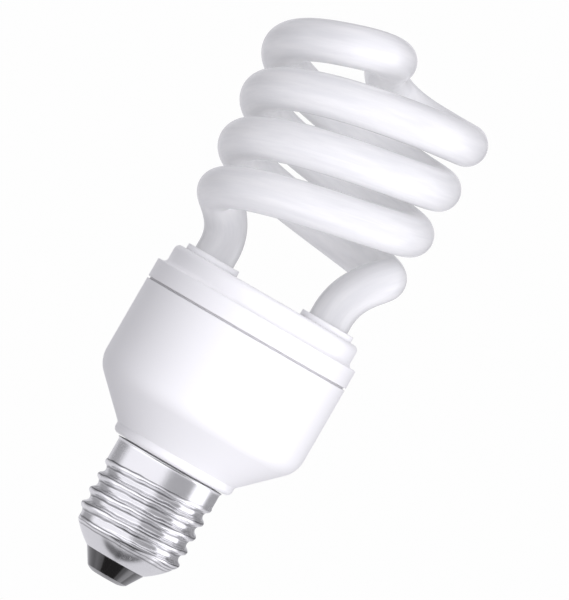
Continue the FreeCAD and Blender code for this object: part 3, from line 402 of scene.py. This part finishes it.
def make_scuff_group():
    """Sparse hair-thin marks of handling: middle lines of a stretched noise, where a broad noise is high."""
    tree, entry, leave = new_group(
        "handling_scuffs",
        {"Scale": ("NodeSocketFloat", 120.0), "Width": ("NodeSocketFloat", 0.012),
         "Cover": ("NodeSocketFloat", 0.58), "Stretch": ("NodeSocketVector", (1.0, 1.0, 0.25))},
        {"Mask": "NodeSocketFloat"})
    link = tree.links.new
    place = tree.nodes.new("ShaderNodeTexCoord")
    stretched = add(tree, "ShaderNodeVectorMath", operation="MULTIPLY")
    link(place.outputs["Object"], stretched.inputs[0])
    link(entry.outputs["Stretch"], stretched.inputs[1])
    lines = add(tree, "ShaderNodeTexNoise", inputs={"Detail": 2.0, "Distortion": 0.6})
    link(stretched.outputs[0], lines.inputs["Vector"])
    link(entry.outputs["Scale"], lines.inputs["Scale"])
    distance = math_node(tree, "ABSOLUTE", math_node(tree, "SUBTRACT", lines.outputs[0], 0.5))
    share = math_node(tree, "DIVIDE", distance, entry.outputs["Width"], clamp=True)
    thin = math_node(tree, "SUBTRACT", 1.0, share, clamp=True)
    area = add(tree, "ShaderNodeTexNoise", inputs={"Scale": 55.0, "Detail": 1.0})
    link(place.outputs["Object"], area.inputs["Vector"])
    kept = math_node(tree, "GREATER_THAN", area.outputs[0], entry.outputs["Cover"])
    link(math_node(tree, "MULTIPLY", thin, kept), leave.inputs["Mask"])
    return tree


def make_painted_shade_group():
    """Painted shade: darkens a colour in corners and grooves, by how much of the sky above it nearby pieces
    hide.
    """
    tree, entry, leave = new_group(
        "painted_corner_shade",
        {"Color": ("NodeSocketColor", (1, 1, 1, 1)), "Grime": ("NodeSocketColor", (0.3, 0.29, 0.28, 1)),
         "Reach": ("NodeSocketFloat", 0.0012), "Amount": ("NodeSocketFloat", 0.4)},
        {"Color": "NodeSocketColor"})
    link = tree.links.new
    hidden = add(tree, "ShaderNodeAmbientOcclusion", samples=6)
    link(entry.outputs["Reach"], hidden.inputs["Distance"])
    closed = math_node(tree, "SUBTRACT", 1.0, hidden.outputs["AO"])
    steeper = math_node(tree, "POWER", closed, 1.6)
    factor = math_node(tree, "MULTIPLY", steeper, entry.outputs["Amount"], clamp=True)
    mixed = add(tree, "ShaderNodeMix", data_type="RGBA")
    link(factor, mixed.inputs["Factor"])
    link(entry.outputs["Color"], mixed.inputs[6])
    link(entry.outputs["Grime"], mixed.inputs[7])
    link(mixed.outputs[2], leave.inputs["Color"])
    return tree


UNEVEN = make_uneven_group()
SCUFFS = make_scuff_group()
PAINTED_SHADE = make_painted_shade_group()


def use_group(tree, group, **values):
    """Node that uses a group; keyword values set its sockets, with an underscore for each space."""
    node = tree.nodes.new("ShaderNodeGroup")
    node.node_tree = group
    for key, value in values.items():
        node.inputs[key.replace("_", " ")].default_value = value
    return node


def new_material(name):
    """Material with only a principled shader and its output."""
    material = bpy.data.materials.new(name)
    material.use_nodes = True
    tree = material.node_tree
    tree.nodes.clear()
    leave = tree.nodes.new("ShaderNodeOutputMaterial")
    shader = tree.nodes.new("ShaderNodeBsdfPrincipled")
    tree.links.new(shader.outputs[0], leave.inputs["Surface"])
    return material, tree, shader


def set_inputs(shader, **values):
    """Sets a shader's sockets by name, with an underscore for each space."""
    for key, value in values.items():
        shader.inputs[key.replace("_", " ")].default_value = value


def bump(tree, height, strength, distance, normal=None):
    """Normal bent by a height whose full range is distance, in metres."""
    node = add(tree, "ShaderNodeBump", inputs={"Strength": strength, "Distance": distance})
    tree.links.new(height, node.inputs["Height"])
    if normal is not None:
        tree.links.new(normal, node.inputs["Normal"])
    return node.outputs[0]


def glass_tube_material():
    """White powder behind clear glass: a matt base that drifts in streaks along the tube, under a coat.

    The powder lets light through, so the base reflects only part of it; a weak glow, painted light, stands
    for the light from the far side. Near the two ends, in the legs under the coil, it is darker: painted
    shade.
    """
    material, tree, shader = new_material("phosphor_tube")
    link = tree.links.new
    scale_along, scale_about = 40.0, 1.3
    along = add(tree, "ShaderNodeAttribute", attribute_name="along")
    turn = add(tree, "ShaderNodeAttribute", attribute_name="turn")
    where = tree.nodes.new("ShaderNodeCombineXYZ")
    link(math_node(tree, "MULTIPLY", along.outputs["Fac"], scale_along), where.inputs[0])
    for socket, operation in ((1, "COSINE"), (2, "SINE")):
        about = math_node(tree, operation, turn.outputs["Fac"])
        link(math_node(tree, "MULTIPLY", about, scale_about), where.inputs[socket])
    streaks = add(tree, "ShaderNodeTexNoise", inputs={"Scale": 1.6, "Detail": 5.0, "Roughness": 0.6})
    link(where.outputs[0], streaks.inputs["Vector"])
    cover = ramp_between(tree, streaks.outputs[0], 0.25, 0.75)
    tint = add(tree, "ShaderNodeMix", data_type="RGBA",
               inputs={6: (0.64, 0.645, 0.655, 1), 7: (0.74, 0.74, 0.74, 1)})
    link(cover, tint.inputs["Factor"])
    # Painted shade: colour darkened to 0.76 within 14 mm of an end, back to full by 34 mm, in the legs under
    # the coil
    from_end = add(tree, "ShaderNodeAttribute", attribute_name="from_end")
    shaded_legs = add(tree, "ShaderNodeVectorMath", operation="SCALE")
    link(tint.outputs[2], shaded_legs.inputs[0])
    link(ramp_between(tree, from_end.outputs["Fac"], 0.014, 0.034, 0.76, 1.0), shaded_legs.inputs["Scale"])
    uneven = use_group(tree, UNEVEN, Roughness=0.5, Color_drift=0.03, Roughness_drift=0.15, Broad_scale=90.0,
                       Fine_scale=2600.0)
    link(shaded_legs.outputs[0], uneven.inputs["Color"])
    # Painted shade between the strands and in the coil's crevices, where nearby tube hides the sky
    occluded_shade = use_group(tree, PAINTED_SHADE, Grime=(0.36, 0.36, 0.37, 1), Reach=0.004, Amount=0.3)
    link(uneven.outputs["Color"], occluded_shade.inputs["Color"])
    link(occluded_shade.outputs[0], shader.inputs["Base Color"])
    link(uneven.outputs["Roughness"], shader.inputs["Roughness"])
    # Painted light: a weak white glow over the whole tube, for light let through from the far side
    set_inputs(shader, Specular_IOR_Level=0.25, Coat_Weight=0.8, Coat_Roughness=0.16, Coat_IOR=1.5,
               Emission_Color=(0.98, 0.97, 1.0, 1), Emission_Strength=0.14)
    link(bump(tree, uneven.outputs["Height"], 0.06, 0.00005), shader.inputs["Normal"])
    return material


def plastic_material():
    """Satin white moulding: fine spark-eroded texture, a few scuffs, soft edges, painted shade in joints."""
    material, tree, shader = new_material("satin_white_plastic")
    link = tree.links.new
    uneven = use_group(tree, UNEVEN, Color=(0.90, 0.90, 0.905, 1), Roughness=0.40, Color_drift=0.02,
                       Roughness_drift=0.12, Broad_scale=45.0, Fine_scale=3200.0)
    scuffs = use_group(tree, SCUFFS, Scale=70.0, Width=0.006, Cover=0.60, Stretch=(1.0, 1.0, 0.35))
    # Painted shade in the joints and the groove, where nearby pieces hide the sky
    occluded_shade = use_group(tree, PAINTED_SHADE, Grime=(0.42, 0.41, 0.42, 1), Reach=0.0009, Amount=0.8)
    link(uneven.outputs["Color"], occluded_shade.inputs["Color"])
    link(occluded_shade.outputs[0], shader.inputs["Base Color"])
    link(math_node(tree, "MULTIPLY_ADD", scuffs.outputs[0], -0.10, uneven.outputs["Roughness"]),
         shader.inputs["Roughness"])
    edges = add(tree, "ShaderNodeBevel", samples=4, inputs={"Radius": 0.00022})
    texture = bump(tree, uneven.outputs["Height"], 0.12, 0.00004, edges.outputs[0])
    marks = math_node(tree, "SUBTRACT", 1.0, scuffs.outputs[0])
    link(bump(tree, marks, 0.06, 0.00003, texture), shader.inputs["Normal"])
    set_inputs(shader, Specular_IOR_Level=0.45)
    return material


def painted_dark_lines(tree, height, color):
    """Painted shade and dark reflections: a sharp line on each crest's shoulder, a soft one in each groove.

    Each line is a bell curve of the height above the crest, and fades out above and below the thread. Three
    more painted lines, by height and a little noise, run round the top of the dome. The strength of them all
    drifts round the cap. A line is given as its middle, its width and its strength; the first two are
    millimetres above the crest on the thread, and metres above the contact on the dome.
    """
    thread_dark_lines = ((0.22, 0.15, 1.0), (-1.28, 0.26, 0.85))
    dome_dark_lines = ((0.0100, 0.00016, 0.85), (0.0093, 0.00012, 0.75), (0.0086, 0.00015, 0.65))
    thread_from, thread_to, dome_waviness = (0.0092, 0.0104), (0.0240, 0.0250), 0.0009
    link = tree.links.new
    above = add(tree, "ShaderNodeAttribute", attribute_name="above_crest")
    place = tree.nodes.new("ShaderNodeTexCoord")
    drift = add(tree, "ShaderNodeTexNoise", inputs={"Scale": 160.0, "Detail": 2.0})
    link(place.outputs["Object"], drift.inputs["Vector"])
    strength = ramp_between(tree, drift.outputs[0], 0.30, 0.62, 0.6, 1.0)

    def lines(value, marks):
        total = None
        for middle, width, amount in marks:
            off = math_node(tree, "DIVIDE", math_node(tree, "SUBTRACT", value, middle), width)
            square = math_node(tree, "MULTIPLY", off, off)
            bell = math_node(tree, "EXPONENT", math_node(tree, "MULTIPLY", square, -1.0))
            line = math_node(tree, "MULTIPLY", bell, amount)
            total = line if total is None else math_node(tree, "ADD", total, line)
        return total

    low = ramp_between(tree, height, *thread_from)
    high = ramp_between(tree, height, *thread_to, 1.0, 0.0)
    on_thread = lines(above.outputs["Fac"], thread_dark_lines)
    thread = math_node(tree, "MULTIPLY", on_thread, math_node(tree, "MULTIPLY", low, high))
    wavy = math_node(tree, "MULTIPLY_ADD", drift.outputs[0], dome_waviness, height)
    dome = lines(wavy, dome_dark_lines)
    kept = math_node(tree, "MULTIPLY", math_node(tree, "ADD", thread, dome), strength, clamp=True)
    # Painted dark colour of the lines, mixed over the metal's own
    mixed = add(tree, "ShaderNodeMix", data_type="RGBA", inputs={7: (0.08, 0.08, 0.085, 1)})
    link(kept, mixed.inputs["Factor"])
    link(color, mixed.inputs[6])
    return mixed.outputs[2]


def cap_metal_material():
    """Rolled bright sheet: streaks round the cap, painted shade and dark reflections, and duller rubbed
    crests.
    """
    material, tree, shader = new_material("rolled_cap_metal")
    link = tree.links.new
    place = tree.nodes.new("ShaderNodeTexCoord")
    split = tree.nodes.new("ShaderNodeSeparateXYZ")
    link(place.outputs["Object"], split.inputs[0])
    radius = math_node(tree, "SQRT", math_node(tree, "ADD", math_node(tree, "POWER", split.outputs[0], 2.0),
                                               math_node(tree, "POWER", split.outputs[1], 2.0)))
    where = tree.nodes.new("ShaderNodeCombineXYZ")
    scale_round, scale_up = 90.0, 3600.0
    for socket, scale in enumerate((scale_round, scale_round, scale_up)):
        link(math_node(tree, "MULTIPLY", split.outputs[socket], scale), where.inputs[socket])
    streaks = add(tree, "ShaderNodeTexNoise", inputs={"Scale": 1.0, "Detail": 3.0, "Roughness": 0.6})
    link(where.outputs[0], streaks.inputs["Vector"])
    crest = ramp_between(tree, radius, 0.0126, 0.0131)
    uneven = use_group(tree, UNEVEN, Color=(0.83, 0.83, 0.84, 1), Roughness=0.17, Color_drift=0.10,
                       Roughness_drift=0.12, Broad_scale=150.0, Fine_scale=1500.0)
    # Painted shade in the thread's grooves and the cap's corners
    occluded_shade = use_group(tree, PAINTED_SHADE, Grime=(0.16, 0.16, 0.17, 1), Reach=0.0010, Amount=0.6)
    with_dark_lines = painted_dark_lines(tree, split.outputs[2], uneven.outputs["Color"])
    link(with_dark_lines, occluded_shade.inputs["Color"])
    scuffs = use_group(tree, SCUFFS, Scale=260.0, Width=0.02, Cover=0.50, Stretch=(1.0, 1.0, 1.4))
    link(occluded_shade.outputs[0], shader.inputs["Base Color"])
    rubbed = math_node(tree, "MULTIPLY_ADD", crest, 0.08, uneven.outputs["Roughness"])
    uneven_streaks = math_node(tree, "SUBTRACT", streaks.outputs[0], 0.5)
    streaked = math_node(tree, "MULTIPLY_ADD", uneven_streaks, 0.10, rubbed)
    link(math_node(tree, "MULTIPLY_ADD", scuffs.outputs[0], 0.12, streaked), shader.inputs["Roughness"])
    set_inputs(shader, Metallic=1.0)
    lines = bump(tree, streaks.outputs[0], 0.05, 0.00002)
    link(bump(tree, uneven.outputs["Height"], 0.05, 0.00006, lines), shader.inputs["Normal"])
    return material


def black_glass_material():
    """Pressed black glass: a glossy brownish black with faint flow waves, a few scuffs and soft edges."""
    material, tree, shader = new_material("black_insulator_glass")
    link = tree.links.new
    uneven = use_group(tree, UNEVEN, Color=(0.007, 0.006, 0.005, 1), Roughness=0.13, Color_drift=0.6,
                       Roughness_drift=0.06, Broad_scale=260.0, Fine_scale=1400.0)
    scuffs = use_group(tree, SCUFFS, Scale=200.0, Width=0.015, Cover=0.55, Stretch=(1.0, 1.0, 0.8))
    link(uneven.outputs["Color"], shader.inputs["Base Color"])
    link(math_node(tree, "MULTIPLY_ADD", scuffs.outputs[0], 0.15, uneven.outputs["Roughness"]),
         shader.inputs["Roughness"])
    set_inputs(shader, Specular_IOR_Level=0.6, Coat_Weight=1.0, Coat_Roughness=0.06)
    edges = add(tree, "ShaderNodeBevel", samples=4, inputs={"Radius": 0.0002})
    link(bump(tree, uneven.outputs["Height"], 0.10, 0.00006, edges.outputs[0]), shader.inputs["Normal"])
    return material


def metal_material(name, color, roughness, lump=0.15):
    """Plain metal with uneven polish, for the contact, the wires and the solder."""
    material, tree, shader = new_material(name)
    link = tree.links.new
    uneven = use_group(tree, UNEVEN, Color=(*color, 1), Roughness=roughness, Color_drift=0.15,
                       Roughness_drift=0.15, Broad_scale=400.0, Fine_scale=1800.0)
    link(uneven.outputs["Color"], shader.inputs["Base Color"])
    link(uneven.outputs["Roughness"], shader.inputs["Roughness"])
    link(bump(tree, uneven.outputs["Height"], lump, 0.0001), shader.inputs["Normal"])
    set_inputs(shader, Metallic=1.0)
    return material


def body_material(name, color, roughness, texture=0.1, coat=0.0):
    """Moulded, dipped, sintered or cast body of an inner component, and the board and the cement."""
    material, tree, shader = new_material(name)
    link = tree.links.new
    uneven = use_group(tree, UNEVEN, Color=(*color, 1), Roughness=roughness, Color_drift=0.18,
                       Roughness_drift=0.15, Broad_scale=220.0, Fine_scale=2400.0)
    # Painted shade in corners and between parts
    occluded_shade = use_group(tree, PAINTED_SHADE, Grime=(color[0] * 0.4, color[1] * 0.4, color[2] * 0.4, 1), Reach=0.001,
                      Amount=0.5)
    link(uneven.outputs["Color"], occluded_shade.inputs["Color"])
    link(occluded_shade.outputs[0], shader.inputs["Base Color"])
    link(uneven.outputs["Roughness"], shader.inputs["Roughness"])
    link(bump(tree, uneven.outputs["Height"], texture, 0.0001), shader.inputs["Normal"])
    set_inputs(shader, Coat_Weight=coat, Coat_Roughness=0.1)
    return material


MATERIALS = {
    "tube_glass": glass_tube_material(),
    "body_plastic": plastic_material(),
    "cap_metal": cap_metal_material(),
    "cap_glass": black_glass_material(),
    "contact_metal": metal_material("contact_metal", (0.43, 0.43, 0.43), 0.26, 0.4),
    "cement": body_material("socket_cement", (0.70, 0.67, 0.58), 0.9, 0.5),
    "board": body_material("paper_board", (0.42, 0.27, 0.11), 0.6, 0.2),
    "copper_wire": metal_material("enamelled_copper", (0.62, 0.24, 0.09), 0.3),
    "tinned_wire": metal_material("tinned_wire", (0.66, 0.66, 0.67), 0.3),
    "solder": metal_material("solder", (0.62, 0.63, 0.66), 0.25, 0.4),
    "ferrite": body_material("ferrite", (0.045, 0.045, 0.05), 0.55, 0.3),
    "coil_former": body_material("coil_former", (0.05, 0.05, 0.05), 0.5),
    "epoxy_black": body_material("black_epoxy", (0.02, 0.02, 0.02), 0.45, 0.15),
    "capacitor_sleeve": body_material("capacitor_sleeve", (0.03, 0.04, 0.10), 0.25, 0.05, 0.4),
    "film_green": body_material("green_dip", (0.03, 0.20, 0.07), 0.3, 0.15, 0.5),
    "resistor_body": body_material("resistor_lacquer", (0.55, 0.38, 0.18), 0.35, 0.1, 0.4),
    "trigger_body": body_material("trigger_glaze", (0.04, 0.12, 0.45), 0.2, 0.05, 0.6),
    "thermistor_body": body_material("thermistor_dip", (0.40, 0.16, 0.04), 0.35, 0.15, 0.4),
}


def dress(piece, slot):
    """Gives a piece its slot's material in place of any other."""
    piece.data.materials.clear()
    piece.data.materials.append(MATERIALS[slot])


slots = {part["node"]: part["material_slot"] for part in frame["record"]["subparts"]}
for node, slot in slots.items():
    dress(frame["nodes"][node], slot)

for maker, node in ((discharge_tube, "discharge_tube"), (cap_skin, "cap_shell")):
    skin = maker()
    slot = slots[node]
    dress(skin, slot)
    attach(skin, "root")
    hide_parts(node)


# Floor, light and camera

# Height and inner and outer radius of the floor's disc, in millimetres, and the white behind everything
FLOOR_Z = -30.0
FLOOR_RADII = (2.0, 900.0)
BACKGROUND = 0.99
WHITE_BACKGROUND = (BACKGROUND, BACKGROUND, BACKGROUND, 1)


def pale_floor():
    """Disc below the lamp that melts into the background with distance, so it has no rim.

    The lamp doesn't mirror it and gets no light back from it.
    """
    rings, around = 24, 96
    angles = np.arange(around) * 2 * math.pi / around
    radii = np.repeat(np.linspace(*FLOOR_RADII, rings)[:, None], around, axis=1)
    level = np.full_like(radii, FLOOR_Z)
    points = np.stack([radii * np.cos(angles), radii * np.sin(angles), level], axis=-1).reshape(-1, 3)
    faces = grid_faces(rings, around)
    faces.append(tuple(range(around))[::-1])
    floor = mesh_object("pale_floor", points, faces)
    material, tree, shader = new_material("pale_floor")
    link = tree.links.new
    uneven = use_group(tree, UNEVEN, Color=(0.97, 0.97, 0.97, 1), Roughness=0.6, Color_drift=0.02,
                       Broad_scale=8.0)
    link(uneven.outputs["Color"], shader.inputs["Base Color"])
    link(uneven.outputs["Roughness"], shader.inputs["Roughness"])
    place = tree.nodes.new("ShaderNodeTexCoord")
    distance = add(tree, "ShaderNodeVectorMath", operation="LENGTH")
    link(place.outputs["Object"], distance.inputs[0])
    glow = add(tree, "ShaderNodeEmission", inputs={"Color": WHITE_BACKGROUND})
    seen = tree.nodes.new("ShaderNodeLightPath")
    fade = ramp_between(tree, distance.outputs["Value"], 0.03, 0.30)
    mixed = tree.nodes.new("ShaderNodeMixShader")
    link(math_node(tree, "MULTIPLY", fade, seen.outputs["Is Camera Ray"]), mixed.inputs[0])
    link(shader.outputs[0], mixed.inputs[1])
    link(glow.outputs[0], mixed.inputs[2])
    leave = next(n for n in tree.nodes if n.type == "OUTPUT_MATERIAL")
    link(mixed.outputs[0], leave.inputs["Surface"])
    floor.data.materials.append(material)
    floor.visible_glossy = False
    floor.visible_diffuse = False


def make_panel_group():
    """Soft-edged window on the sky: 1 where the heading and the height both lie in their ranges."""
    tree, entry, leave = new_group(
        "light_panel",
        {"Heading": ("NodeSocketFloat", 0.0), "Height": ("NodeSocketFloat", 0.0),
         "Middle": ("NodeSocketFloat", 0.0), "Half width": ("NodeSocketFloat", 30.0),
         "Low": ("NodeSocketFloat", -30.0), "High": ("NodeSocketFloat", 60.0),
         "Edge": ("NodeSocketFloat", 8.0)},
        {"Inside": "NodeSocketFloat"})
    link = tree.links.new
    given = entry.outputs

    def past(value, limit):
        """How far a value lies past a limit, in widths of the soft edge."""
        return math_node(tree, "DIVIDE", math_node(tree, "SUBTRACT", value, limit), given["Edge"])

    turn = math_node(tree, "SUBTRACT", given["Heading"], given["Middle"])
    away = math_node(tree, "ABSOLUTE", math_node(tree, "WRAP", turn, 180.0, -180.0))
    across = math_node(tree, "SUBTRACT", 0.5, past(away, given["Half width"]), clamp=True)
    above = math_node(tree, "ADD", past(given["Height"], given["Low"]), 0.5, clamp=True)
    below = math_node(tree, "ADD", past(given["High"], given["Height"]), 0.5, clamp=True)
    inside = math_node(tree, "MULTIPLY", across, math_node(tree, "MULTIPLY", above, below))
    link(inside, leave.inputs["Inside"])
    return tree


# The room's even light and its panels, for mirror-like rays and, softer, for the rest. A panel is its middle
# heading, half width, low and high edge and the edges' softness, all in degrees, and the light it adds.
# Heading 0 is the camera's side and 90 is +X.
MIRRORED_SKY = 0.38
MIRRORED_PANELS = (
    (-47.5, 52.5, -50.0, 60.0, 16.0, 0.66),
    (90.5, 22.5, -52.0, 42.0, 5.0, 1.05),
    (118.0, 22.0, -38.0, -20.0, 10.0, 0.15),
    (0.0, 115.0, 48.0, 95.0, 16.0, 0.55),
    (-168.0, 24.0, -16.0, 16.0, 10.0, 0.30),
    (180.0, 45.0, 24.0, 80.0, 12.0, -0.15),
    (0.0, 180.0, -95.0, -12.0, 20.0, 0.36),
    (0.0, 62.0, -76.0, -54.0, 6.0, -0.62),
)
SOFT_SKY = 0.30
SOFT_PANELS = (
    (24.0, 20.0, -58.0, 50.0, 30.0, 3.30),
    (30.0, 30.0, -85.0, -35.0, 20.0, 0.40),
    (-45.0, 50.0, 10.0, 70.0, 25.0, 0.25),
    (-105.0, 35.0, -50.0, 60.0, 20.0, 0.32),
    (105.0, 35.0, -50.0, 60.0, 20.0, 0.32),
    (180.0, 45.0, -30.0, 60.0, 30.0, 0.95),
)
LIGHT_TINT = (1.0, 0.988, 1.045, 1)
# Dark patch of the floor below the lamp, in mirror-like rays: middle and half width towards +X, then towards
# +Y, of the ray's direction, and added light
FLOOR_SHADE = (0.03, 0.42, 0.14, 0.15, -0.60)

# The photograph's longer side in pixels and its scale at the lamp, and the camera's roll, its distance in
# metres and the point that it looks at in millimetres
SENSOR_MM, LONG_SIDE, PIXELS_PER_MM = 36.0, 600, 4.48
CAMERA_ROLL, CAMERA_DISTANCE = math.radians(30), 2.2
CAMERA_TARGET = (3.66, 0, 73.76)


def studio_world():
    """White to the camera, sharp panels of light to mirror-like rays, and a soft room to all other rays."""
    world = bpy.data.worlds.new("studio")
    bpy.context.scene.world = world
    world.use_nodes = True
    tree = world.node_tree
    tree.nodes.clear()
    link = tree.links.new
    leave = tree.nodes.new("ShaderNodeOutputWorld")
    place = tree.nodes.new("ShaderNodeTexCoord")
    split = tree.nodes.new("ShaderNodeSeparateXYZ")
    link(place.outputs["Generated"], split.inputs[0])
    forward = math_node(tree, "MULTIPLY", split.outputs[1], -1.0)
    heading = math_node(tree, "DEGREES", math_node(tree, "ARCTAN2", split.outputs[0], forward))
    height = math_node(tree, "DEGREES", math_node(tree, "ARCSINE", split.outputs[2]))
    panel = make_panel_group()
    seen = tree.nodes.new("ShaderNodeLightPath")
    totals = []
    for sky, panels in ((MIRRORED_SKY, MIRRORED_PANELS), (SOFT_SKY, SOFT_PANELS)):
        total = sky
        for middle, half, low, high, edge, light in panels:
            node = use_group(tree, panel, Middle=middle, Half_width=half, Low=low, High=high, Edge=edge)
            link(heading, node.inputs["Heading"])
            link(height, node.inputs["Height"])
            total = math_node(tree, "MULTIPLY_ADD", node.outputs[0], light, total)
        totals.append(total)
    middle_x, half_x, middle_y, half_y, dark = FLOOR_SHADE
    across = math_node(tree, "DIVIDE", math_node(tree, "SUBTRACT", split.outputs[0], middle_x), half_x)
    behind = math_node(tree, "DIVIDE", math_node(tree, "SUBTRACT", split.outputs[1], middle_y), half_y)
    reach = math_node(tree, "SQRT", math_node(tree, "MULTIPLY_ADD", across, across,
                                              math_node(tree, "MULTIPLY", behind, behind)))
    below = math_node(tree, "LESS_THAN", split.outputs[2], 0.0)
    patch = math_node(tree, "MULTIPLY", ramp_between(tree, reach, 0.75, 1.25, 1.0, 0.0), below)
    chosen = add(tree, "ShaderNodeMix", data_type="FLOAT")
    link(seen.outputs["Is Glossy Ray"], chosen.inputs["Factor"])
    link(totals[1], chosen.inputs[2])
    link(math_node(tree, "MULTIPLY_ADD", patch, dark, totals[0]), chosen.inputs[3])
    room = add(tree, "ShaderNodeBackground", inputs={"Color": LIGHT_TINT})
    link(chosen.outputs[0], room.inputs["Strength"])
    plain = add(tree, "ShaderNodeBackground", inputs={"Color": WHITE_BACKGROUND})
    mixed = tree.nodes.new("ShaderNodeMixShader")
    link(seen.outputs["Is Camera Ray"], mixed.inputs[0])
    link(room.outputs[0], mixed.inputs[1])
    link(plain.outputs[0], mixed.inputs[2])
    link(mixed.outputs[0], leave.inputs["Surface"])


def photo_camera():
    """Level long-lens view along +Y, rolled so that the lamp leans 30 degrees to the right.

    The lens fits the photograph's longer side, at its scale in pixels per millimetre, to the sensor.
    """
    right = Vector((math.cos(CAMERA_ROLL), 0, math.sin(CAMERA_ROLL)))
    up = Vector((-math.sin(CAMERA_ROLL), 0, math.cos(CAMERA_ROLL)))
    back = right.cross(up)
    lens = bpy.data.cameras.new("photo_camera")
    lens.sensor_width = SENSOR_MM
    lens.lens = SENSOR_MM * CAMERA_DISTANCE / (LONG_SIDE / PIXELS_PER_MM * MM)
    lens.clip_end = 20.0
    camera = bpy.data.objects.new("photo_camera", lens)
    target = Vector(CAMERA_TARGET) * MM
    turned = Matrix((right, up, back)).transposed().to_4x4()
    camera.matrix_world = Matrix.Translation(target + back * CAMERA_DISTANCE) @ turned
    bpy.context.scene.collection.objects.link(camera)
    bpy.context.scene.camera = camera


pale_floor()
studio_world()
photo_camera()
bpy.context.scene.view_settings.view_transform = "Standard"
